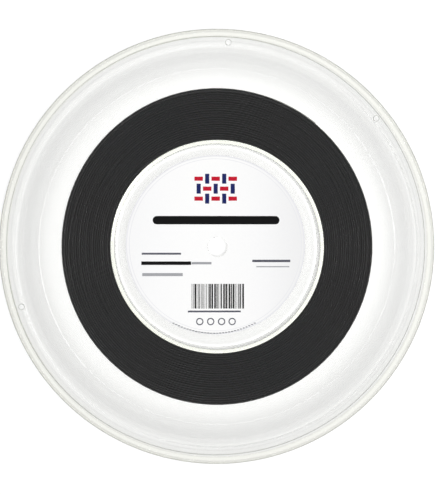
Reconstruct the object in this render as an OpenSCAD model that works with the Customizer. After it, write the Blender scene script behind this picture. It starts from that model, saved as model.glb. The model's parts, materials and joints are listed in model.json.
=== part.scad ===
// Clear moulded reel wound with racket string.
// The reel lies flat on its rear rim: +Z is the spindle axis and points out of the labelled face,
// and the origin is the centre of the rear rim plane. Millimetres and degrees throughout.

/* [Spool] */
// Outside diameter of both flanges
reel_d = 270; // [262:1:320]
// Overall width over the two rim lips
reel_w = 34; // [30:0.5:42]
// Width between the two flanges at the drum
groove_w = 22; // [20:0.5:25]
// Wall thickness of flanges and webs
wall = 1.6; // [1:0.1:2]

/* [Flange rim] */
// Radial width of the level band outside the flare
rim_band_w = 9.8; // [8:0.1:11]
// Radial width of the flare between the flat flange and the level band
flare_w = 15; // [8:0.5:16]
// Share of the flare's width that its gentle inner cone takes
knee_across = 0.54; // [0.3:0.01:0.7]
// Share of the flare's rise that its gentle inner cone takes
knee_up = 0.26; // [0.1:0.01:0.5]
// Radial width of each rounded bend of the flare
flare_bend_w = 1.2; // [0.4:0.1:1.6]
// Radial width from the flange's edge to the middle of the ramp up to the raised lip
lip_w = 3.2; // [2.8:0.1:4]
// Height of the raised lip over the level band
lip_h = 0.8; // [0.4:0.1:1.4]
// Radial width of the soft ramp between the level band and the lip
lip_ramp_w = 2.4; // [1:0.1:2.8]
// Least radial width of the level land on the lip that the reel rests on
lip_land_w = 0.4; // [0.2:0.1:0.8]
// Radius that the flange's edge is rounded with, at most 0.46 of its thickness there
rim_round = 1.1; // [0.4:0.1:1.2]
// Diameter of the holes that park the string's free end
park_hole_d = 3.2; // [2:0.1:4]
// Distance from the flange's edge to the centres of the parking holes
park_hole_inset = 8; // [6.5:0.1:9]
// Angles of the parking holes in the front flange, counter-clockwise from +X
park_hole_angles = [39, 87, 197]; // [0:1:359]

/* [Drum] */
// Outside diameter of the drum that the string is wound on
drum_d = 133; // [118:1:146]
// Wall thickness of the drum
drum_wall = 2.1; // [1.6:0.1:3]
// Length along the axis over which the two drum halves lap
lap_l = 6; // [3:0.5:12]
// Radial clearance in the lap joint
lap_clearance = 0.1; // [0.05:0.01:0.2]

/* [Spindle tube] */
// Diameter of the spindle bore
bore_d = 12; // [8:0.5:30]
// Wall thickness of the spindle tube
tube_wall = 2; // [1.2:0.1:4]

/* [String] */
// Diameter of the string
string_d = 1.35; // [1.1:0.05:1.45]
// Length of string on the reel, in metres
string_length_m = 200; // [120:10:220]
// Share of the wound space that is string, the rest being air between the turns
winding_fill = 0.793; // [0.72:0.001:0.9]
// Least gap between the drawn loops of the outer layer
loop_gap = 0.45; // [0.42:0.01:0.8]
// Clearance between the winding and the plastic or layer it lies against
winding_clearance = 0.3; // [0.2:0.05:0.5]
// Angle at which the string's free end stops, counter-clockwise from +X
string_end_angle = 62; // [0:1:359]

/* [End tape] */
// Width of the tape along the axis
tape_w = 12; // [6:0.5:15]
// Length of the tape round the winding
tape_l = 36; // [15:1:60]
// Thickness of the tape
tape_t = 0.15; // [0.1:0.05:0.4]
// Clearance between the tape and the turns beneath it
tape_clearance = 0.1; // [0.05:0.05:0.3]

/* [Label] */
// Diameter of the label
label_d = 112; // [60:1:118]
// Margin between the bore and the edge of the hole punched in the label
label_hole_margin = 0.5; // [0.2:0.1:3]
// Thickness of the label
label_t = 0.2; // [0.1:0.05:0.5]

/* [Hidden] */
$fn = 96;

// Heights over the rear rim plane
mid_z = reel_w / 2;
groove_low_z = mid_z - groove_w / 2;
groove_high_z = mid_z + groove_w / 2;
front_face_z = groove_high_z + wall;

// Radii of the spool
reel_r = reel_d / 2;
drum_r = drum_d / 2;
bore_r = bore_d / 2;
tube_r = bore_r + tube_wall;
flare_end_r = reel_r - rim_band_w;
flare_start_r = flare_end_r - flare_w;
lip_ramp_r = reel_r - lip_w;

// Heights of one half over the mid plane
groove_half_w = groove_w / 2;
band_low = reel_w / 2 - lip_h - wall;
flare_rise = band_low - groove_half_w;

// Section of the flare: three bends, and the slopes of the cones between them
cones_w = flare_w - flare_bend_w;
gentle_slope = knee_up * flare_rise / (knee_across * cones_w);
steep_slope = (1 - knee_up) * flare_rise / ((1 - knee_across) * cones_w);
flare_bends = [0, knee_across * cones_w, cones_w];
BEND_STEPS = 6;

// Section of the lip: its ramp in steps, and the rounding of the rim, which leaves the land level
rim_round_r = min(rim_round, 0.46 * (wall + lip_h), lip_w - lip_ramp_w / 2 - lip_land_w);
RAMP_STEPS = 8;
ROUND_STEPS = 6;

lap_wall = (drum_wall - lap_clearance) / 2;
CUT = 1;

// Radius that the whole string reaches, from its length, its diameter and the drum's size
string_area = PI * pow(string_d / 2, 2) * string_length_m * 1000 / (winding_fill * groove_w);
winding_r = sqrt(pow(drum_r, 2) + string_area / PI);

// Outer layer, drawn as one tube of straight runs between RINGS stations a turn
RINGS = 24;
SIDES = 6;
MAX_LOOPS = 24;
string_r = string_d / 2;
layer_r = winding_r - string_r;
run_sag = layer_r * (1 - cos(180 / RINGS));
inner_layers_r = layer_r - run_sag - string_r - winding_clearance;
layer_low_z = groove_low_z + winding_clearance + string_r;
layer_travel = groove_w - 2 * (winding_clearance + string_r);
loops = min(MAX_LOOPS, floor(layer_travel / (string_d + loop_gap)));
loop_pitch = layer_travel / loops;
layer_points = concat(
    [loop_point(0, -string_d)],
    [for (i = [0:loops * RINGS]) loop_point(i, 0)],
    [loop_point(loops * RINGS, string_d)]
);

// Point at a station of the outer layer, moved along the string's run there by ahead
function loop_point(i, ahead) =
    let (a = string_end_angle + 360 * i / RINGS)
    [
        layer_r * cos(a) - ahead * sin(a),
        layer_r * sin(a) + ahead * cos(a),
        layer_low_z + loop_pitch * i / RINGS
    ];

// Least gap between the surfaces of the drawn loops, measured over the points half a turn or more apart
least_gap = min([
    for (i = [0:len(layer_points) - 1 - RINGS / 2])
        for (j = [i + RINGS / 2:len(layer_points) - 1])
            norm(layer_points[j] - layer_points[i])
]) - string_d;
echo(string_outer_layer_loops = loops, least_gap_mm = least_gap);

// Cross-section of the tube at one point: SIDES corners, the first pointing away from the axis
function tube_ring(p) =
    let (out = [p.x, p.y, 0] / norm([p.x, p.y]))
    [
        for (s = [0:SIDES - 1])
            p + string_r * (cos(360 * s / SIDES) * out + [0, 0, sin(360 * s / SIDES)])
    ];

// Closed tube of triangles through a list of points
module tube(points) {
    corners = [for (p = points) each tube_ring(p)];
    last = len(points) - 1;
    sides = [
        for (i = [0:last - 1])
            for (s = [0:SIDES - 1])
                let (
                    a = i * SIDES + s,
                    b = i * SIDES + (s + 1) % SIDES
                )
                each [[a, b, b + SIDES], [a, b + SIDES, a + SIDES]]
    ];
    end = last * SIDES;
    start_cap = [for (s = [1:SIDES - 2]) [0, s + 1, s]];
    end_cap = [for (s = [1:SIDES - 2]) [end, end + s, end + s + 1]];
    polyhedron(points = corners, faces = concat(sides, start_cap, end_cap));
}

// Height of a line that turns from level to a slope of 1 through a bend that starts at distance 0
function bent(distance) =
    let (along = min(max(distance, 0), flare_bend_w))
    along * along / (2 * flare_bend_w) + max(distance - flare_bend_w, 0);

// Height of the flare over the flat flange, level at both ends and steeper outside its knee
function flare_height(distance) =
    gentle_slope * bent(distance - flare_bends[0])
    + (steep_slope - gentle_slope) * bent(distance - flare_bends[1])
    - steep_slope * bent(distance - flare_bends[2]);

// Points of the flare at a height over the mid plane, from the inside outwards
function flare_line(height) = [
    for (start = flare_bends)
        for (i = [0:BEND_STEPS])
            let (distance = start + flare_bend_w * i / BEND_STEPS)
            [flare_start_r + distance, height + flare_height(distance)]
];

// Points of the ramp from the level band up to the lip, from the inside outwards
function lip_ramp_line() = [
    for (i = [0:RAMP_STEPS])
        let (share = i / RAMP_STEPS)
        [
            lip_ramp_r + lip_ramp_w * (share - 0.5),
            band_low + wall + lip_h * (1 - cos(180 * share)) / 2
        ]
];

// Points of a quarter of the rim's rounding, from start_angle on
function rim_round(height, start_angle) = [
    for (i = [0:ROUND_STEPS])
        let (a = start_angle + 90 * i / ROUND_STEPS)
        [reel_r - rim_round_r + rim_round_r * cos(a), height + rim_round_r * sin(a)]
];

function reversed(list) = [for (i = [len(list) - 1:-1:0]) list[i]];

// Section of one half's web, flange and lip, as radius and height over the mid plane
module disc_section() {
    polygon(concat(
        [[bore_r, groove_half_w]],
        flare_line(groove_half_w),
        rim_round(band_low + rim_round_r, -90),
        rim_round(band_low + wall + lip_h - rim_round_r, 0),
        reversed(lip_ramp_line()),
        reversed(flare_line(groove_half_w + wall)),
        [[bore_r, groove_half_w + wall]]
    ));
}

// Section of a ring between two radii and two heights over the mid plane
module ring_section(r_in, r_out, low, high) {
    translate([r_in, low]) square([r_out - r_in, high - low]);
}

// One half of the spool over the mid plane. outer_lap picks which side of the drum wall laps over
module spool_half(outer_lap) {
    drum_in_r = drum_r - drum_wall;
    lap_in_r = outer_lap ? drum_r - lap_wall : drum_in_r;
    rotate_extrude()
        union() {
            disc_section();
            ring_section(bore_r, tube_r, 0, groove_half_w + wall);
            ring_section(drum_in_r, drum_r, lap_l / 2, groove_half_w + wall);
            ring_section(lap_in_r, lap_in_r + lap_wall, -lap_l / 2, groove_half_w + wall);
        }
}

module front_half() {
    color("gainsboro", 0.5)
        translate([0, 0, mid_z])
            difference() {
                spool_half(outer_lap = true);
                for (a = park_hole_angles)
                    rotate(a)
                        translate([reel_r - park_hole_inset, 0, groove_half_w])
                            cylinder(d = park_hole_d, h = mid_z);
            }
}

module rear_half() {
    color("gainsboro", 0.5)
        translate([0, 0, mid_z])
            mirror([0, 0, 1])
                spool_half(outer_lap = false);
}

module string_inner_layers() {
    color("black")
        translate([0, 0, groove_low_z])
            rotate_extrude()
                ring_section(drum_r + winding_clearance, inner_layers_r, 0, groove_w);
}

module string_outer_layer() {
    color("dimgray")
        tube(layer_points);
}

module end_tape() {
    tape_r = winding_r + tape_clearance;
    tape_angle = 360 * tape_l / (2 * PI * tape_r);
    color("ivory")
        translate([0, 0, groove_high_z - winding_clearance - tape_w])
            rotate(string_end_angle - tape_angle / 2)
                rotate_extrude(angle = tape_angle)
                    ring_section(tape_r, tape_r + tape_t, 0, tape_w);
}

module front_label() {
    color("white")
        translate([0, 0, front_face_z])
            difference() {
                cylinder(d = label_d, h = label_t);
                translate([0, 0, -CUT])
                    cylinder(r = bore_r + label_hole_margin, h = label_t + 2 * CUT);
            }
}

front_half();
rear_half();
string_inner_layers();
string_outer_layer();
end_tape();
front_label();
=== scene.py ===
# %% [markdown]
# # A clear reel of black racket string
#
# The reel is a spool of clear moulded plastic: two flanges with flared rims, a drum between them, 200 m
# of black nylon string wound on the drum, and a round paper label. It lies on its rear rim, so +Z is the
# spindle's axis. The construction is loaded as a fixed frame, and each visible piece is modelled round it
# at the size and place that the frame gives.

# %% Load the frame and keep its box
import json
import math
import random

import bmesh
import bpy
from mathutils import Matrix, Vector


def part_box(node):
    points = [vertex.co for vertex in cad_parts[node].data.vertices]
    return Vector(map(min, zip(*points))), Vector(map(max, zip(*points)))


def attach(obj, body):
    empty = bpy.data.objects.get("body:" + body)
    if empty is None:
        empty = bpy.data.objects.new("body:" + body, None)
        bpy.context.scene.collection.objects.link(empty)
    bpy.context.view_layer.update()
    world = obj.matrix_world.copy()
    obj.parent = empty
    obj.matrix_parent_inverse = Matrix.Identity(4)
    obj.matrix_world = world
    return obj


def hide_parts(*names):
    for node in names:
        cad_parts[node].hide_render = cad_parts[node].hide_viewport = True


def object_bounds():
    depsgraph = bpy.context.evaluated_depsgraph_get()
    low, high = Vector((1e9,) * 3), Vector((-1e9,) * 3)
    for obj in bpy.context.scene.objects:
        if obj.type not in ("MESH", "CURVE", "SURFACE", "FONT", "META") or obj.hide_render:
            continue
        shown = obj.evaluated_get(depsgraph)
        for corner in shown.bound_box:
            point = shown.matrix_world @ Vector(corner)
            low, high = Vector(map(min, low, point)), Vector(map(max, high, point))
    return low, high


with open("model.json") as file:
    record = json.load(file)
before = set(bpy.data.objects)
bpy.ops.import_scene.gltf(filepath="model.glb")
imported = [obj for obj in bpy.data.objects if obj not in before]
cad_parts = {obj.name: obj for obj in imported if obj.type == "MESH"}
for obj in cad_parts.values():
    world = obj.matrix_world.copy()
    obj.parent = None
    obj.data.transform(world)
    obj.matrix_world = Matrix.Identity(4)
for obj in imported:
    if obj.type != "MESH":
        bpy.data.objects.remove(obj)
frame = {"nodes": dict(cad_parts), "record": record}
cad_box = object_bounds()
MM = 0.001
BODY = "root"
print("frame:", sorted(frame["nodes"]), "box", [tuple(round(c, 4) for c in p) for p in cad_box])

# %% [markdown]
# ## Sizes
#
# What the frame can tell is read from it: the rim's radius, the groove's heights, the winding's radius,
# the bore and the three parking holes. Only what no box gives, the moulded section and the string's
# thickness, is written here again, in millimetres.

# %% Read the sizes
WALL = 1.6 * MM
DRUM_R = 66.5 * MM
DRUM_WALL = 2.1 * MM
TUBE_WALL = 2.0 * MM
RIM_BAND = 9.8 * MM
FLARE = 15.0 * MM
LIP_W = 3.2 * MM
LIP_H = 0.8 * MM
STRING_R = 0.675 * MM

rim_r = cad_box[1].x
top_z = cad_box[1].z
mid_z = top_z / 2
groove_low, groove_high = (corner.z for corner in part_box("string_inner_layers"))
winding_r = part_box("string_outer_layer")[1].y
label_low, label_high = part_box("front_label")
mounts = {mount["name"]: mount for mount in frame["record"]["mounts"]}
bore_r = mounts["spindle_bore"]["dims"]["r_mm"] * MM
park_holes = [mount for name, mount in mounts.items() if name.startswith("park_hole")]
print(f"rim {rim_r / MM:.1f} mm, winding {winding_r / MM:.1f} mm, groove {(groove_high - groove_low) / MM:.1f} mm")

# %% [markdown]
# ## Camera
#
# The reel is seen from straight above, a little off its axis, from about 0.8 m. At that distance the rear
# rim looks 4 % smaller than the front rim, which is why both circles show. The camera's place is worked
# out from the front rim's centre: the lens looks along the reel's axis, leaning by about 1.7 degrees.

# %% Place the camera
CAMERA_RISE = 825 * MM
LEAN = Vector((0.0247, -0.0153))
OFF_CENTRE = Vector((0.06, 0.36)) * MM
FOCAL_MM = 96.8

back = Vector((-LEAN.x, -LEAN.y, 1)).normalized()
right = (Vector((1, 0, 0)) - back * back.x).normalized()
up = back.cross(right)
front_centre = Vector((0, 0, top_z))
eye = front_centre - OFF_CENTRE.x * right - OFF_CENTRE.y * up + CAMERA_RISE * back

camera_data = bpy.data.cameras.new("camera")
camera_data.lens = FOCAL_MM
camera = bpy.data.objects.new("camera", camera_data)
camera.matrix_world = Matrix.Translation(eye) @ Matrix((right, up, back)).transposed().to_4x4()
bpy.context.scene.collection.objects.link(camera)
bpy.context.scene.camera = camera
print("camera at", [round(c, 3) for c in eye])

# %% [markdown]
# ## Helpers for modelling
#
# Blender's operators act on whatever is selected, so every step starts from an empty selection. These few
# functions are the hand movements that the rest repeats: start a piece, pick parts of it, apply a
# modifier, and set the finished piece down in the frame.

# %% Modelling helpers
DOUBLES = 0.002 * MM
SHARP_ANGLE = math.radians(35)


def pick_only(piece):
    """Makes one object the selected and active one."""
    if bpy.context.object and bpy.context.object.mode != "OBJECT":
        bpy.ops.object.mode_set(mode="OBJECT")
    bpy.ops.object.select_all(action="DESELECT")
    piece.select_set(True)
    bpy.context.view_layer.objects.active = piece


def applied(piece, kind, **settings):
    """Adds a modifier and applies it."""
    pick_only(piece)
    modifier = piece.modifiers.new(kind.lower(), kind)
    for name, value in settings.items():
        setattr(modifier, name, value)
    bpy.ops.object.modifier_apply(modifier=modifier.name)


def cleaned(piece):
    """Merges doubles, turns the faces outwards and smooths all but the real edges."""
    pick_only(piece)
    bpy.ops.object.mode_set(mode="EDIT")
    bpy.ops.mesh.select_all(action="SELECT")
    bpy.ops.mesh.remove_doubles(threshold=DOUBLES)
    bpy.ops.mesh.normals_make_consistent(inside=False)
    bpy.ops.object.mode_set(mode="OBJECT")
    bpy.ops.object.shade_smooth_by_angle(angle=SHARP_ANGLE)


def finished(piece, name, material, slot, *nodes):
    """Names a piece, sets its place into its mesh, and hands it to the frame."""
    pick_only(piece)
    bpy.ops.object.transform_apply(location=True, rotation=True, scale=True)
    piece.name = piece.data.name = name
    piece.data.materials.clear()
    piece.data.materials.append(material)
    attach(piece, BODY)
    if nodes:
        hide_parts(*nodes)
    print(f"{name}: {len(piece.data.vertices)} points, {len(piece.data.polygons)} faces")


# %% [markdown]
# A lathe makes most of this object. The section is drawn by extruding one point from corner to corner,
# as one would with the mouse, and the closed outline is spun round the axis. Closing the outline fills it
# with a face, which is deleted first, because a spun face leaves a wall inside the solid at every step,
# and clear plastic would show them all. A part turn is closed at both ends afterwards.

# %% The lathe
TURN_STEPS = 512


def lathed(outline, angle=2 * math.pi, steps=TURN_STEPS):
    """Spins a closed outline of (radius, height) points round +Z, and returns the solid."""
    bpy.ops.object.select_all(action="DESELECT")
    bpy.ops.mesh.primitive_plane_add(size=MM, location=(0, 0, 0))
    piece = bpy.context.object
    bpy.ops.object.mode_set(mode="EDIT")
    bpy.ops.mesh.select_all(action="SELECT")
    bpy.ops.mesh.merge(type="CENTER")
    place = Vector((outline[0][0], 0, outline[0][1]))
    bpy.ops.transform.translate(value=place)
    for radius, height in outline[1:]:
        corner = Vector((radius, 0, height))
        bpy.ops.mesh.extrude_vertices_move(TRANSFORM_OT_translate={"value": corner - place})
        place = corner
    bpy.ops.mesh.select_all(action="SELECT")
    for vertex in bmesh.from_edit_mesh(piece.data).verts:
        vertex.select_set(len(vertex.link_edges) == 1)
    bpy.ops.mesh.edge_face_add()
    bpy.ops.mesh.select_all(action="SELECT")
    bpy.ops.mesh.delete(type="ONLY_FACE")
    bpy.ops.mesh.select_all(action="SELECT")
    bpy.ops.mesh.spin(steps=steps, angle=angle, center=(0, 0, 0), axis=(0, 0, 1), use_auto_merge=True)
    if angle < 2 * math.pi:
        bpy.ops.mesh.select_all(action="SELECT")
        bpy.ops.mesh.fill_holes(sides=0)
    bpy.ops.object.mode_set(mode="OBJECT")
    cleaned(piece)
    return piece


# %% [markdown]
# ## Materials
#
# One function turns a hex colour to the linear numbers that shaders use, and one adds a node with its
# settings and links. Patterns read Object coordinates, which are metres here, so each scale is worked out
# from a real size.

# %% Material helpers
def linear(hex_colour):
    """sRGB hex, such as #1a2b3c, as linear RGBA."""
    parts = [int(hex_colour[i : i + 2], 16) / 255 for i in (1, 3, 5)]
    return [c / 12.92 if c <= 0.04045 else ((c + 0.055) / 1.055) ** 2.4 for c in parts] + [1]


def add_node(tree, kind, settings=None, values=None, links=None):
    """Adds a node, sets its properties and its inputs, and links other nodes' outputs into it."""
    made = tree.nodes.new(kind)
    for name, value in (settings or {}).items():
        setattr(made, name, value)
    for name, value in (values or {}).items():
        made.inputs[name].default_value = value
    for name, source in (links or {}).items():
        tree.links.new(source, made.inputs[name])
    return made


def new_material(name):
    """An empty material with its output node."""
    material = bpy.data.materials.new(name)
    material.use_nodes = True
    material.node_tree.nodes.clear()
    tree = material.node_tree
    return material, tree, add_node(tree, "ShaderNodeOutputMaterial")


# %% [markdown]
# ### Clear polystyrene
#
# Reels like this are moulded from general-purpose polystyrene, a hard clear plastic with a high index of 1.59. It
# is polished by its mould, so it is very smooth, and the melt leaves faint flow waves some centimetres long. Thick
# edges look slightly warm green, because light runs a long way inside them, so the tint is an absorption in the
# volume and not a colour on the surface. Three places have painted shade in their colour, each a little darker than
# the rest. The front rim is warmer and duller, partly its own tint and partly painted shade. The upright walls of
# the small holes and of the bore, and the other upright walls beyond 121 mm from the axis, are darkened as painted
# shade for the dark rings that light bent by them draws. The outermost edge is darkened as painted shade for the
# thin dark line that light bent at the rim draws. Each draws a thin darker line. Light from lamps passes the
# plastic by way of a transparent shader, because a path tracer would otherwise leave everything behind it dark.
#
# Each zone sets in between two distances from the axis, in millimetres. A wall counts as upright when the
# height of its normal falls between two values. A lamp's light passes a level face almost whole and an
# upright one hardly at all, so LET_THROUGH pairs the height of the normal with the share that passes.

# %% Clear polystyrene
FLOW_WAVES = 35 * MM
# The rim zone is partly the front rim's tint and partly painted shade. The edge, bore and holes zones mark where
# painted shade darkens the plastic.
ZONES = {"rim": (129.6, 130.6), "edge": (134.2, 134.6), "bore": (7.5, 7.0), "holes": (120, 121)}
UPRIGHT = (0.84, 0.74)
LET_THROUGH = ((0, 0.1), (0.92, 0.84), (0.992, 0.92), (1, 0.99))


def clear_polystyrene(name, rim_tint_and_shade):
    material, tree, output = new_material(name)
    place = add_node(tree, "ShaderNodeTexCoord")
    waves = add_node(tree, "ShaderNodeTexNoise", values={"Scale": 1 / FLOW_WAVES, "Detail": 1.0},
                     links={"Vector": place.outputs["Object"]})
    bump = add_node(tree, "ShaderNodeBump", values={"Strength": 0.05, "Distance": 0.5 * MM},
                    links={"Height": waves.outputs["Fac"]})
    flat = add_node(tree, "ShaderNodeVectorMath", {"operation": "MULTIPLY"}, {1: (1, 1, 0)},
                    {0: place.outputs["Object"]})
    from_axis = add_node(tree, "ShaderNodeVectorMath", {"operation": "LENGTH"}, links={0: flat.outputs["Vector"]})
    at = {}
    for zone, (start, end) in ZONES.items():
        within = add_node(tree, "ShaderNodeMapRange", values={"From Min": start * MM, "From Max": end * MM},
                          links={"Value": from_axis.outputs["Value"]})
        at[zone] = within.outputs["Result"]
    tilt = add_node(tree, "ShaderNodeSeparateXYZ", links={"Vector": place.outputs["Normal"]})
    level = add_node(tree, "ShaderNodeMath", {"operation": "ABSOLUTE"}, links={0: tilt.outputs["Z"]})
    upright = add_node(tree, "ShaderNodeMapRange", values={"From Min": UPRIGHT[0], "From Max": UPRIGHT[1]},
                       links={"Value": level.outputs["Value"]})
    holed = add_node(tree, "ShaderNodeMath", {"operation": "MAXIMUM"}, links={0: at["bore"], 1: at["holes"]})
    hole_wall = add_node(tree, "ShaderNodeMath", {"operation": "MULTIPLY"},
                         links={0: holed.outputs["Value"], 1: upright.outputs["Result"]})
    # Painted shade: these mixes darken the front rim a little (partly its own tint), the upright hole and bore
    # walls, and the outermost edge.
    warm = add_node(tree, "ShaderNodeMix", {"data_type": "RGBA"}, {6: linear("#ffffff"), 7: linear(rim_tint_and_shade)},
                    {0: at["rim"]})
    painted_hole_shade = add_node(tree, "ShaderNodeMix", {"data_type": "RGBA"}, {7: linear("#b6b8b0")},
                    {0: hole_wall.outputs["Value"], 6: warm.outputs[2]})
    tone = add_node(tree, "ShaderNodeMix", {"data_type": "RGBA"}, {7: linear("#8c8e84")},
                    {0: at["edge"], 6: painted_hole_shade.outputs[2]})
    plastic = add_node(tree, "ShaderNodeBsdfPrincipled", values={
        "Roughness": 0.02, "IOR": 1.59, "Transmission Weight": 1.0,
    }, links={"Normal": bump.outputs["Normal"], "Base Color": tone.outputs[2]})
    let_through = add_node(tree, "ShaderNodeValToRGB", links={"Fac": level.outputs["Value"]})
    stops = let_through.color_ramp.elements
    for stop, share in ((stops[0], LET_THROUGH[0][1]), (stops[1], LET_THROUGH[-1][1])):
        stop.color = (share, share, share, 1)
    for position, share in LET_THROUGH[1:-1]:
        stops.new(position).color = (share, share, share, 1)
    lamp_light = add_node(tree, "ShaderNodeBsdfTransparent", links={"Color": let_through.outputs["Color"]})
    path = add_node(tree, "ShaderNodeLightPath")
    surface = add_node(tree, "ShaderNodeMixShader", links={"Fac": path.outputs["Is Shadow Ray"]})
    tree.links.new(plastic.outputs["BSDF"], surface.inputs[1])
    tree.links.new(lamp_light.outputs["BSDF"], surface.inputs[2])
    tree.links.new(surface.outputs["Shader"], output.inputs["Surface"])
    tint = add_node(tree, "ShaderNodeVolumeAbsorption", values={"Color": linear("#f1f6db"), "Density": 16.0})
    tree.links.new(tint.outputs["Volume"], output.inputs["Volume"])
    return material


# Only the front copy carries the rim's tint and painted shade. The rear copy's rim stays white.
front_plastic = clear_polystyrene("clear_polystyrene_front", "#f8f8f3")
rear_plastic = clear_polystyrene("clear_polystyrene_rear", "#ffffff")
print("materials:", front_plastic.name, rear_plastic.name)

# %% [markdown]
# ### Black nylon string
#
# Racket string is drawn nylon with a thin glossy coat, dyed black all through. Wound close, the coat
# catches light as fine lines along the turns. The roughness varies a little over some millimetres, as
# the coat does.

# %% Black nylon
def black_nylon():
    material, tree, output = new_material("black_nylon_string")
    place = add_node(tree, "ShaderNodeTexCoord")
    patches = add_node(tree, "ShaderNodeTexNoise", values={"Scale": 1 / (6 * MM), "Detail": 2.0},
                       links={"Vector": place.outputs["Object"]})
    roughness = add_node(tree, "ShaderNodeMapRange", values={"To Min": 0.30, "To Max": 0.46},
                         links={"Value": patches.outputs["Fac"]})
    nylon = add_node(tree, "ShaderNodeBsdfPrincipled", values={
        "Base Color": linear("#262627"), "IOR": 1.53, "Coat Weight": 0.25, "Coat Roughness": 0.2,
    }, links={"Roughness": roughness.outputs["Result"]})
    tree.links.new(nylon.outputs["BSDF"], output.inputs["Surface"])
    return material


string_black = black_nylon()
print("material:", string_black.name)

# %% [markdown]
# ### Label paper, inks and tape
#
# The label is white coated paper: smooth, slightly glossy, with a faint mottle where the coating soaks in. Painted
# shade darkens it a little towards its left and right edges, as a soft sheen on glossy paper would. The inks lie on
# it as a thin film and share one recipe. The tape is matt polypropylene, which is milky and lets the string show
# through.

# %% Paper, inks and tape
# Painted shade across the label, from its left edge to its right: darker towards both edges.
PAINTED_SHADE_START, PAINTED_SHADE_END = -58 * MM, 58 * MM
PAINTED_SHADE_TONES = (
    (0, "#f9f9fa"), (0.14, "#fcfcfd"), (0.35, "#ffffff"), (0.55, "#ffffff"), (0.75, "#fbfbfc"), (0.9, "#f3f3f4"),
    (1, "#f1f1f2"),
)


def coated_paper():
    material, tree, output = new_material("coated_label_paper")
    place = add_node(tree, "ShaderNodeTexCoord")
    mottle = add_node(tree, "ShaderNodeTexNoise", values={"Scale": 1 / (1.5 * MM), "Detail": 3.0},
                      links={"Vector": place.outputs["Object"]})
    white = add_node(tree, "ShaderNodeMix", {"data_type": "RGBA"}, {6: linear("#fafafa"), 7: linear("#fefefd")},
                     {0: mottle.outputs["Fac"]})
    # The tone across the label's X is painted shade, darker towards its left and right edges.
    split = add_node(tree, "ShaderNodeSeparateXYZ", links={"Vector": place.outputs["Object"]})
    across = add_node(tree, "ShaderNodeMapRange", values={"From Min": PAINTED_SHADE_START, "From Max": PAINTED_SHADE_END},
                      links={"Value": split.outputs["X"]})
    tint = add_node(tree, "ShaderNodeValToRGB", links={"Fac": across.outputs["Result"]})
    tint.color_ramp.interpolation = "B_SPLINE"
    stops = tint.color_ramp.elements
    stops[0].color, stops[1].color = linear(PAINTED_SHADE_TONES[0][1]), linear(PAINTED_SHADE_TONES[-1][1])
    for position, tone in PAINTED_SHADE_TONES[1:-1]:
        stops.new(position).color = linear(tone)
    shade = add_node(tree, "ShaderNodeMix", {"data_type": "RGBA", "blend_type": "MULTIPLY"}, {0: 1.0},
                     {6: white.outputs[2], 7: tint.outputs["Color"]})
    bump = add_node(tree, "ShaderNodeBump", values={"Strength": 0.08, "Distance": 0.02 * MM},
                    links={"Height": mottle.outputs["Fac"]})
    paper = add_node(tree, "ShaderNodeBsdfPrincipled", values={"Roughness": 0.42, "IOR": 1.5},
                     links={"Base Color": shade.outputs[2], "Normal": bump.outputs["Normal"]})
    tree.links.new(paper.outputs["BSDF"], output.inputs["Surface"])
    return material


def printing_ink(name, hex_colour):
    material, tree, output = new_material(name)
    place = add_node(tree, "ShaderNodeTexCoord")
    grain = add_node(tree, "ShaderNodeTexNoise", values={"Scale": 1 / (0.8 * MM), "Detail": 2.0},
                     links={"Vector": place.outputs["Object"]})
    roughness = add_node(tree, "ShaderNodeMapRange", values={"To Min": 0.38, "To Max": 0.5},
                         links={"Value": grain.outputs["Fac"]})
    ink = add_node(tree, "ShaderNodeBsdfPrincipled", values={"Base Color": linear(hex_colour), "IOR": 1.5},
                   links={"Roughness": roughness.outputs["Result"]})
    tree.links.new(ink.outputs["BSDF"], output.inputs["Surface"])
    return material


def milky_tape():
    material, tree, output = new_material("matt_polypropylene_tape")
    place = add_node(tree, "ShaderNodeTexCoord")
    haze = add_node(tree, "ShaderNodeTexNoise", values={"Scale": 1 / (2 * MM), "Detail": 2.0},
                    links={"Vector": place.outputs["Object"]})
    roughness = add_node(tree, "ShaderNodeMapRange", values={"To Min": 0.4, "To Max": 0.55},
                         links={"Value": haze.outputs["Fac"]})
    tape = add_node(tree, "ShaderNodeBsdfPrincipled",
                    values={"Base Color": linear("#dcdad2"), "IOR": 1.49, "Alpha": 0.45},
                    links={"Roughness": roughness.outputs["Result"]})
    tree.links.new(tape.outputs["BSDF"], output.inputs["Surface"])
    return material


paper = coated_paper()
inks = {
    "black": printing_ink("black_ink", "#0c0c0d"),
    "navy": printing_ink("navy_ink", "#1c2560"),
    "red": printing_ink("red_ink", "#c4142e"),
    "slate": printing_ink("slate_ink", "#5b5c66"),
    "grey": printing_ink("grey_ink", "#a3a4a8"),
    # Pale grey ink for the label's edge line, partly painted shade of the label's edge.
    "edge_shade": printing_ink("label_edge_shade_ink", "#eaeaed"),
}
tape_film = milky_tape()
print("materials:", paper.name, tape_film.name, *(ink.name for ink in inks.values()))

# %% [markdown]
# ## The two spool halves
#
# Each half is one moulding: spindle tube, web, half of the drum wall, flat flange, flare, level band and
# lip. The flare bends three times: a gentle cone, a steeper one, and level again. The halves are welded
# into one clear drum, so the seam is drawn as a hairline butt joint, because a lap's air gap would show as
# dark rings that a weld doesn't have. The corner between web and drum keeps the round of the mould, which
# shows as one thin line. Points are spent on the bends, because the cones between them are straight. One
# outline serves both halves: the rear half is its mirror image.

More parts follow.
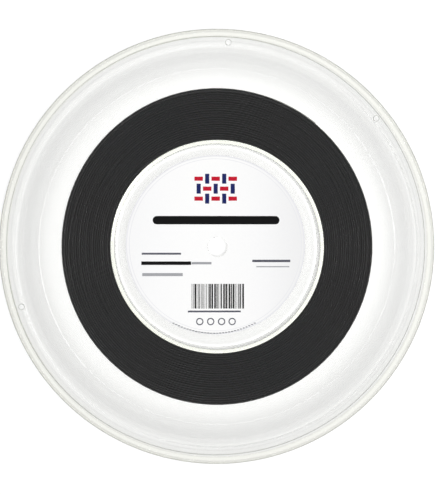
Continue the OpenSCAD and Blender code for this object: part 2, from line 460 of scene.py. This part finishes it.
# %% Draw the section of a half
BEND_STEPS = 10
FLARE_BEND = 1.2 * MM
KNEE_ACROSS = 0.54
KNEE_UP = 0.26
RIM_ROUND = 1.1 * MM
EDGE_ROUND = 0.06 * MM
CORNER_ROUND = 0.2 * MM
ROUNDED_ANGLE = math.radians(60)
LIP_RAMP = 2.4 * MM
SEAM = 0.02 * MM
flare_end = rim_r - RIM_BAND
flare_start = flare_end - FLARE
half_groove = groove_high - mid_z
band_low = top_z - mid_z - LIP_H - WALL
flare_rise = band_low - half_groove


def bent(distance):
    """A line that turns from level to a slope of 1, through a bend centred on distance 0."""
    along = min(max(distance + FLARE_BEND / 2, 0), FLARE_BEND)
    return along * along / (2 * FLARE_BEND) + max(distance - FLARE_BEND / 2, 0)


def flare(height):
    """Points of the flare from the inside outwards: a gentle cone, a steep cone, and level again."""
    width = FLARE - FLARE_BEND
    knee = KNEE_ACROSS * width
    gentle = KNEE_UP * flare_rise / knee
    steep = (1 - KNEE_UP) * flare_rise / (width - knee)
    points = []
    for bend in (0, knee, width):
        for i in range(BEND_STEPS + 1):
            along = bend + FLARE_BEND * (i / BEND_STEPS - 0.5)
            rise = gentle * bent(along) + (steep - gentle) * bent(along - knee) - steep * bent(along - width)
            points.append((flare_start + FLARE_BEND / 2 + along, height + rise))
    return points


def quarter(centre_r, centre_height, radius, start, end, steps=8):
    """Points of a rounding between two angles in degrees."""
    turns = [math.radians(start + (end - start) * i / steps) for i in range(steps + 1)]
    return [(centre_r + radius * math.cos(t), centre_height + radius * math.sin(t)) for t in turns]


def round_end():
    """The rim's rounded edge, from its top to its underside."""
    edge_r = rim_r - RIM_ROUND
    top = quarter(edge_r, band_low + WALL + LIP_H - RIM_ROUND, RIM_ROUND, 90, 0)
    return top + quarter(edge_r, band_low + RIM_ROUND, RIM_ROUND, 0, -90)


def lip_ramp(band_top, steps=10):
    """The soft step up to the lip."""
    shares = [i / steps for i in range(steps + 1)]
    return [
        (rim_r - LIP_W + LIP_RAMP * (share - 0.5), band_top + LIP_H * (1 - math.cos(math.pi * share)) / 2)
        for share in shares
    ]


def half_outline():
    """The section of one half as (radius, height over the middle of the reel)."""
    top = half_groove + WALL
    drum_in = DRUM_R - DRUM_WALL
    return [
        (bore_r, top), *flare(top), *lip_ramp(band_low + WALL),
        *round_end(), *reversed(flare(half_groove)),
        (DRUM_R, half_groove), (DRUM_R, SEAM / 2), (drum_in, SEAM / 2),
        *quarter(drum_in - CORNER_ROUND, half_groove - CORNER_ROUND, CORNER_ROUND, 0, 90),
        (bore_r + TUBE_WALL, half_groove), (bore_r + TUBE_WALL, SEAM / 2), (bore_r, SEAM / 2),
    ]


def spool_half(side):
    """One half, set in the reel. side is 1 for the front and -1 for the rear."""
    half = lathed([(radius, mid_z + side * height) for radius, height in half_outline()])
    applied(half, "BEVEL", width=EDGE_ROUND, segments=3, limit_method="ANGLE", angle_limit=ROUNDED_ANGLE)
    return half


front_half = spool_half(side=1)
rear_half = spool_half(side=-1)
print(f"flare from {flare_start / MM:.1f} to {flare_end / MM:.1f} mm, rise {flare_rise / MM:.2f} mm")

# %% [markdown]
# Three small holes near the front rim park the string's free end. Each is cut by a cylinder and eased by
# a cone at both faces, which is how a mould or a drill leaves it. The cones bend the light away, so each
# hole shows as a thin dark ring. The rear flange has none. Last, the normals are weighted by face area:
# clear plastic shows every wrong normal as a crooked image, so the flat web and the cones must shade as
# flat and straight, with all the turning kept in the small roundings.

# %% Cut the parking holes
HOLE_EASE = 0.3 * MM
PAST_FACE = 0.1 * MM
HOLE_POINTS = 48
CAP_NORMAL = 0.9


def cut_by(piece, cutter):
    """Takes a cutter's solid out of a piece."""
    applied(piece, "BOOLEAN", object=cutter, operation="DIFFERENCE", solver="EXACT")
    bpy.data.objects.remove(cutter)


def hole_cutter(radius, centre):
    """A cylinder that widens to a cone at both faces of the flange, as one solid."""
    bpy.ops.object.select_all(action="DESELECT")
    bpy.ops.mesh.primitive_cylinder_add(vertices=HOLE_POINTS, radius=radius, depth=WALL - 2 * HOLE_EASE,
                                        location=centre)
    cutter = bpy.context.object
    rise = HOLE_EASE + PAST_FACE
    share = (radius + rise) / radius
    bpy.ops.object.mode_set(mode="EDIT")
    bpy.ops.mesh.select_mode(type="FACE")
    for side in (1, -1):
        bpy.ops.mesh.select_all(action="DESELECT")
        for face in bmesh.from_edit_mesh(cutter.data).faces:
            face.select_set(face.normal.z * side > CAP_NORMAL)
        bpy.ops.mesh.extrude_region_move(TRANSFORM_OT_translate={"value": (0, 0, side * rise)})
        bpy.ops.transform.resize(value=(share, share, 1))
    bpy.ops.mesh.select_mode(type="VERT")
    bpy.ops.object.mode_set(mode="OBJECT")
    return cutter


for hole in park_holes:
    cut_by(front_half, hole_cutter(hole["dims"]["r_mm"] * MM, Vector(hole["pos_m"])))
for half in (front_half, rear_half):
    cleaned(half)
    applied(half, "WEIGHTED_NORMAL", keep_sharp=True)
finished(front_half, "front_spool_half", front_plastic, "clear_plastic", "front_half")
finished(rear_half, "rear_spool_half", rear_plastic, "clear_plastic", "rear_half")

# %% [markdown]
# ## The winding
#
# The string is laid in layers. Each layer winds across the groove, touches a flange, climbs on itself and
# winds back, so each flange shows the last turn of one layer and the first turn of the next as a pair of
# rings joined by a short climb. Only what can be seen is drawn as string: two turns of each layer at
# either flange, and the whole outer layer. A plain core fills the middle. The winding was wound a little
# oval, as soft windings are, and its first layer stands off the drum by a hair, so that the clear wall
# keeps its own shine there.

# %% Sizes of the winding
TURN_POINTS = 96
FACE_TURNS = 2
CLIMB_POINTS = 8
OVAL = 0.95 * MM
OVAL_ANGLE = math.radians(92)
DRUM_GAP = 0.08 * MM
layer_room = winding_r - DRUM_R - DRUM_GAP
layers = int(layer_room / (2 * STRING_R))
if layers % 2 == 0:
    layers -= 1
layer_pitch = (layer_room - 2 * STRING_R) / (layers - 1)
turns = int((groove_high - groove_low) / (2 * STRING_R)) - 1
turn_pitch = (groove_high - groove_low - 2 * STRING_R) / turns
print(f"{layers} layers of {turns + 1} turns, {layer_pitch / MM:.3f} mm and {turn_pitch / MM:.3f} mm apart")

# %% Draw the string's paths
dice = random.Random(7)


def wound(radius, height, angle):
    """A point of the winding, which grows oval towards its outside."""
    swell = OVAL * (radius - DRUM_R) / layer_room * math.cos(2 * (angle - OVAL_ANGLE))
    return Vector(((radius + swell) * math.cos(angle), (radius + swell) * math.sin(angle), height))


def layer_radius(layer):
    return DRUM_R + DRUM_GAP + STRING_R + layer * layer_pitch


def face_pair(layer, side, start, turns_in, turns_out):
    """Path of a layer's last turns, the climb at a flange, and the next layer's first turns."""
    face = groove_high - STRING_R if side > 0 else groove_low + STRING_R
    step = 2 * math.pi / TURN_POINTS
    path = []
    for i in range(-round(turns_in * TURN_POINTS), 1):
        path.append(wound(layer_radius(layer), face + side * turn_pitch * i / TURN_POINTS, start + i * step))
    for i in range(1, CLIMB_POINTS):
        share = i / CLIMB_POINTS
        ease = share * share * (3 - 2 * share)
        path.append(wound(layer_radius(layer + ease), face, start + i * step))
    start += CLIMB_POINTS * step
    for i in range(round(turns_out * TURN_POINTS) + 1):
        path.append(wound(layer_radius(layer + 1), face - side * turn_pitch * i / TURN_POINTS, start + i * step))
    return path


def string_tubes(paths):
    """Round tubes of the string's thickness along several paths, as one mesh."""
    curve = bpy.data.curves.new("string", "CURVE")
    curve.dimensions = "3D"
    curve.bevel_depth = STRING_R
    curve.bevel_resolution = 1
    curve.use_fill_caps = True
    curve.twist_mode = "Z_UP"
    for path in paths:
        spline = curve.splines.new("POLY")
        spline.points.add(len(path) - 1)
        for point, place in zip(spline.points, path):
            point.co = (*place, 1)
    tubes = bpy.data.objects.new("string", curve)
    bpy.context.scene.collection.objects.link(tubes)
    pick_only(tubes)
    bpy.ops.object.convert(target="MESH")
    bpy.ops.object.shade_smooth()
    return bpy.context.object


# %% Lay the turns that show at each flange
for name, side, first in (("front", 1, 0), ("rear", -1, 1)):
    pairs = [
        face_pair(layer, side, dice.uniform(0, 2 * math.pi), FACE_TURNS, FACE_TURNS)
        for layer in range(first, layers - 2, 2)
    ]
    finished(string_tubes(pairs), f"string_turns_{name}_face", string_black, "black_string")

# %% Lay the outer layer and the plain core
END_ANGLE = math.radians(62)
outer = face_pair(layers - 2, -1, END_ANGLE - CLIMB_POINTS * 2 * math.pi / TURN_POINTS, FACE_TURNS, turns)
finished(string_tubes([outer]), "string_outer_turns", string_black, "black_string", "string_outer_layer")

CORE_GAP = 0.3 * MM
CORE_MARGIN = 2.2 * STRING_R
core_in = FACE_TURNS * turn_pitch + CORE_MARGIN
core_low, core_high = groove_low + core_in, groove_high - core_in
core_r = layer_radius(layers - 2)
core = lathed([
    (DRUM_R + CORE_GAP, core_low), (core_r, core_low), (core_r, core_high), (DRUM_R + CORE_GAP, core_high),
])
finished(core, "string_core", string_black, "black_string", "string_inner_layers")

# %% [markdown]
# ## The end tape
#
# A strip of tape holds the string's free end down. It takes the shape of the turns under it, so a ridged
# line is drawn across its width and spun along its length. Where the spin has put it is measured from
# its own points, and it is turned from there to the angle of the string's end.

# %% Lay the tape
tape_low, tape_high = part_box("end_tape")
TAPE_T = 0.12 * MM
TAPE_LIFT = 0.03 * MM
RIDGE = 0.03 * MM
TAPE_ANGLE = math.radians(21)
TAPE_STEPS = 24
RIDGE_POINTS = 6
tape_base = winding_r + OVAL * math.cos(2 * (END_ANGLE - OVAL_ANGLE)) + TAPE_LIFT
tape_width = tape_high.z - tape_low.z
across = int(tape_width / turn_pitch * RIDGE_POINTS)
ridged = [
    (tape_base + RIDGE * math.cos(2 * math.pi * i / RIDGE_POINTS), tape_low.z + tape_width * i / across)
    for i in range(across + 1)
]
outside = [(radius + TAPE_T, height) for radius, height in reversed(ridged)]
tape = lathed(ridged + outside, TAPE_ANGLE, TAPE_STEPS)
spun_to = math.atan2(sum(v.co.y for v in tape.data.vertices), sum(v.co.x for v in tape.data.vertices))
tape.rotation_euler.z = END_ANGLE - spun_to
finished(tape, "end_tape_strip", tape_film, "tape", "end_tape")
print("tape centred on", round(math.degrees(END_ANGLE)), "degrees; the frame's box is", tape_low, tape_high)

# %% [markdown]
# ## The label
#
# The label is a disc of coated paper, stuck on the front web by hand, so it sits a millimetre or two off the
# centre. Its hole is punched on the bore's own axis. What is printed on it is plain and generic: a small patch of
# woven strings, a bar, lines where words could stand, a row of upright bars, four rings, an arc of dashes, and a
# fine double line of pale grey round the edge. That line is partly the label's glue line and partly painted shade
# for the thin shadow along its edge. All of it is a film of ink 0.02 mm thick.

# %% Lay the label's paper
LABEL_HOLE_MARGIN = 0.15 * MM
LABEL_HOLE_POINTS = 96
PUNCH_H = 2 * MM
LABEL_SHIFT = Vector((-1.2, 1.2, 0)) * MM
label_r = label_high.x
label_middle = (label_low.z + label_high.z) / 2
bpy.ops.object.select_all(action="DESELECT")
bpy.ops.mesh.primitive_cylinder_add(vertices=TURN_STEPS, radius=label_r, depth=label_high.z - label_low.z,
                                    location=LABEL_SHIFT + Vector((0, 0, label_middle)))
label = bpy.context.object
bpy.ops.object.select_all(action="DESELECT")
bpy.ops.mesh.primitive_cylinder_add(vertices=LABEL_HOLE_POINTS, radius=bore_r + LABEL_HOLE_MARGIN, depth=PUNCH_H,
                                    location=(0, 0, label_middle))
cut_by(label, bpy.context.object)
cleaned(label)
finished(label, "label_paper", paper, "label_paper", "front_label")

# %% Helpers for print
INK_T = 0.02 * MM
NEARLY_HALF = 0.49
printed = {ink: [] for ink in inks}


def ink_film(ink, outline_piece):
    """Gives a flat outline its film of ink and keeps it with the others of its colour."""
    applied(outline_piece, "SOLIDIFY", thickness=INK_T, offset=1)
    printed[ink].append(outline_piece)


def bar(ink, x, y, width, height, round_ends=False):
    """A bar of ink centred on a place of the label, in millimetres."""
    bpy.ops.object.select_all(action="DESELECT")
    bpy.ops.mesh.primitive_plane_add(size=1, location=(x * MM, y * MM, label_high.z))
    piece = bpy.context.object
    piece.scale = (width * MM, height * MM, 1)
    bpy.ops.object.transform_apply(location=False, rotation=False, scale=True)
    if round_ends:
        bpy.ops.object.mode_set(mode="EDIT")
        bpy.ops.mesh.select_all(action="SELECT")
        bpy.ops.mesh.bevel(offset=NEARLY_HALF * min(width, height) * MM, segments=5, affect="VERTICES")
        bpy.ops.object.mode_set(mode="OBJECT")
    ink_film(ink, piece)


def ring(ink, x, y, radius, line, points=48):
    """A ring of ink centred on a place of the label, in millimetres."""
    bpy.ops.object.select_all(action="DESELECT")
    bpy.ops.mesh.primitive_circle_add(vertices=points, radius=radius * MM, location=(x * MM, y * MM, label_high.z))
    piece = bpy.context.object
    bpy.ops.object.mode_set(mode="EDIT")
    bpy.ops.mesh.select_all(action="SELECT")
    bpy.ops.mesh.extrude_edges_move()
    share = 1 - line / radius
    bpy.ops.transform.resize(value=(share, share, 1))
    bpy.ops.mesh.select_all(action="SELECT")
    bpy.ops.mesh.normals_make_consistent(inside=False)
    bpy.ops.object.mode_set(mode="OBJECT")
    ink_film(ink, piece)


# %% Print the woven patch
PATCH_X, PATCH_Y = -1.1, 36.2
STRAND = 2.6
ACROSS, ALONG = 5.3, 6.2
for column in range(-2, 3):
    for row in range(-1, 2):
        x, y = PATCH_X + column * ACROSS, PATCH_Y + row * ALONG
        if (column + row) % 2 == 0:
            bar("navy", x, y, STRAND, ALONG)
        else:
            bar("red", x, y, ACROSS, STRAND)
print("woven patch:", len(printed["navy"]), "navy and", len(printed["red"]), "red pieces")

# %% Print the bars where words could stand
LINES = (
    ("slate", -34.9, -4.3, 24.4, 1.2),
    ("black", -31.9, -10.2, 31.0, 2.2),
    ("grey", -9.9, -10.2, 12.4, 1.5),
    ("grey", -34.2, -17.3, 25.2, 1.9),
    ("slate", 33.6, -8.8, 23.7, 1.5),
    ("grey", 34.6, -12.4, 20.6, 0.7),
)
bar("black", -0.8, 16.6, 79.0, 5.2, round_ends=True)
for line in LINES:
    bar(*line)

# %% Print the row of upright bars
BARS_LEFT, BARS_RIGHT = -16.0, 16.8
BARS_Y, BARS_H = -30.8, 15.4
BAR_WIDTHS = (0.35, 0.35, 0.7, 1.05)
BAR_GAPS = (0.35, 0.35, 0.7)
x = BARS_LEFT
while x < BARS_RIGHT:
    width = dice.choice(BAR_WIDTHS)
    bar("black", x + width / 2, BARS_Y, width, BARS_H)
    x += width + dice.choice(BAR_GAPS)
bar("slate", -1.9, -40.3, 33.0, 1.1)

# %% Print the four rings and the arc of dashes
RINGS_X, RINGS_Y = (-11.0, -4.2, 2.6, 9.2), -46.6
RING_R, RING_LINE = 2.3, 0.7
ARC_X, ARC_R = -2.0, 53.9
ARC_DEGREES = range(242, 299, 2)
DASH_L, DASH_W = 1.3, 0.5
for x in RINGS_X:
    ring("slate", x, RINGS_Y, RING_R, RING_LINE)
for degrees in ARC_DEGREES:
    angle = math.radians(degrees)
    bar("slate", ARC_R * math.cos(angle) + ARC_X, ARC_R * math.sin(angle), DASH_L, DASH_W)

# %% Print the fine double line round the label's edge, partly painted shade of its edge
EDGE_POINTS = 192
for inset, line in ((0.1, 0.9), (2.2, 0.35)):
    ring("edge_shade", LABEL_SHIFT.x / MM, LABEL_SHIFT.y / MM, label_r / MM - inset, line, points=EDGE_POINTS)

# %% Join each ink into one piece
for ink, pieces in printed.items():
    pick_only(pieces[0])
    for piece in pieces:
        piece.select_set(True)
    bpy.ops.object.join()
    finished(bpy.context.object, f"label_print_{ink}", inks[ink], "label_paper")

# %% [markdown]
# ## Floor and light
#
# The reel lies on a light table: a matt white floor that also glows a little, which is how clear plastic
# is usually shown, because it keeps the ground behind it white and turns its edges into thin dark lines.
# The glow is shaped to the reel, and this paints light and shade into the ground under it. It is fuller under the
# drum and the winding, brightest in a ring under the drum wall, and softer under the flare and the rim. It is
# dimmest in a ring just outside the rim, which is a painted shadow. One big soft box overhead lights the label; it
# isn't mirrored, because the flat flange would lay its image over the black string. Two low strips far out at the
# sides and a small faint one near the middle are mirrored, and draw the fine bright lines in the bends. The sky is
# dim for the reel and bright for the camera, so the ground ends in a pale backdrop, with a faint horizon in the
# lowest views.
#
# PAINTED_GLOW pairs a distance from the axis, in millimetres, with the strength of the glow there. The glow also
# slopes a little and is stronger towards the upper right, which paints the ground a little darker towards the lower
# left. The floor lies a hair below the rim, so that the two faces don't coincide.

# %% Floor
# Painted light and shade: these rings of glow under the reel include a painted shadow just outside the rim.
PAINTED_GLOW = [
    (0, 0.76), (10, 0.76), (57, 0.72), (62, 0.70), (63.2, 0.78), (65.2, 1.30), (66.4, 1.02), (94, 1.02), (99, 0.79),
    (106, 0.74), (112.7, 0.67), (115.3, 0.63), (119.2, 0.66), (123, 0.64), (127, 0.56), (129.6, 0.67), (132, 0.65),
    (135, 0.58), (139, 0.46), (141, 0.62), (150, 0.68),
]
GLOW_SLOPE = 0.04
GLOW_TOWARDS = (1.3, 1.1, 0)
FLOOR_DROP = 0.05 * MM
FLOOR_W = 6


def light_table():
    material, tree, output = new_material("light_table_painted_glow")
    matt = add_node(tree, "ShaderNodeBsdfDiffuse", values={"Color": linear("#afafaf")})
    place = add_node(tree, "ShaderNodeTexCoord")
    from_centre = add_node(tree, "ShaderNodeVectorMath", {"operation": "LENGTH"},
                           links={"Vector": place.outputs["Object"]})
    glow_r = PAINTED_GLOW[-1][0]
    share = add_node(tree, "ShaderNodeMath", {"operation": "DIVIDE", "use_clamp": True}, {1: glow_r * MM},
                     {0: from_centre.outputs["Value"]})
    spread = add_node(tree, "ShaderNodeValToRGB", links={"Fac": share.outputs["Value"]})
    spread.color_ramp.interpolation = "LINEAR"
    stops = spread.color_ramp.elements
    stops.remove(stops[1])
    stops[0].color = (PAINTED_GLOW[0][1], PAINTED_GLOW[0][1], PAINTED_GLOW[0][1], 1)
    for radius, level in PAINTED_GLOW[1:]:
        stops.new(radius / glow_r).color = (level, level, level, 1)
    along = add_node(tree, "ShaderNodeVectorMath", {"operation": "DOT_PRODUCT"}, {1: GLOW_TOWARDS},
                     {0: place.outputs["Object"]})
    slope = add_node(tree, "ShaderNodeMapRange", {"clamp": True}, {
        "From Min": -rim_r, "From Max": rim_r, "To Min": 1 - GLOW_SLOPE, "To Max": 1 + GLOW_SLOPE,
    }, {"Value": along.outputs["Value"]})
    strength = add_node(tree, "ShaderNodeMath", {"operation": "MULTIPLY"},
                        links={0: spread.outputs["Color"], 1: slope.outputs["Result"]})
    glow = add_node(tree, "ShaderNodeEmission", values={"Color": linear("#ffffff")},
                    links={"Strength": strength.outputs["Value"]})
    both = add_node(tree, "ShaderNodeAddShader")
    tree.links.new(matt.outputs["BSDF"], both.inputs[0])
    tree.links.new(glow.outputs["Emission"], both.inputs[1])
    tree.links.new(both.outputs["Shader"], output.inputs["Surface"])
    return material


bpy.ops.object.select_all(action="DESELECT")
bpy.ops.mesh.primitive_plane_add(size=FLOOR_W, location=(0, 0, -FLOOR_DROP))
floor = bpy.context.object
floor.name = "floor"
floor.data.materials.append(light_table())

# %% Lights
SKY = 0.16
BACKDROP = 0.9
world = bpy.data.worlds.new("studio")
world.use_nodes = True
ray = add_node(world.node_tree, "ShaderNodeLightPath")
seen = add_node(world.node_tree, "ShaderNodeMapRange", values={"To Min": SKY, "To Max": BACKDROP},
                links={"Value": ray.outputs["Is Camera Ray"]})
world.node_tree.nodes["Background"].inputs["Color"].default_value = linear("#ffffff")
world.node_tree.links.new(seen.outputs["Result"], world.node_tree.nodes["Background"].inputs["Strength"])
bpy.context.scene.world = world


def soft_box(name, place, width, length, power, mirrored=True):
    """An area light at a place, aimed at the reel. One that isn't mirrored gives no gloss."""
    light = bpy.data.lights.new(name, "AREA")
    light.shape = "RECTANGLE"
    light.size, light.size_y = length, width
    light.energy = power
    box = bpy.data.objects.new(name, light)
    box.location = place
    box.rotation_euler = (-Vector(place)).to_track_quat("-Z", "Y").to_euler()
    box.visible_glossy = box.visible_transmission = mirrored
    bpy.context.scene.collection.objects.link(box)


soft_box("soft_box_overhead", (0, 0, 3), width=0.8, length=0.8, power=76, mirrored=False)
soft_box("strip_left", (-6.5, 0, 2.4), width=0.8, length=2.5, power=24)
soft_box("strip_right", (6.5, 0, 2.4), width=0.8, length=2.5, power=24)
soft_box("strip_centre", (0.03, -0.046, 3.0), width=0.06, length=0.14, power=0.16)
bpy.context.scene.view_settings.view_transform = "Standard"
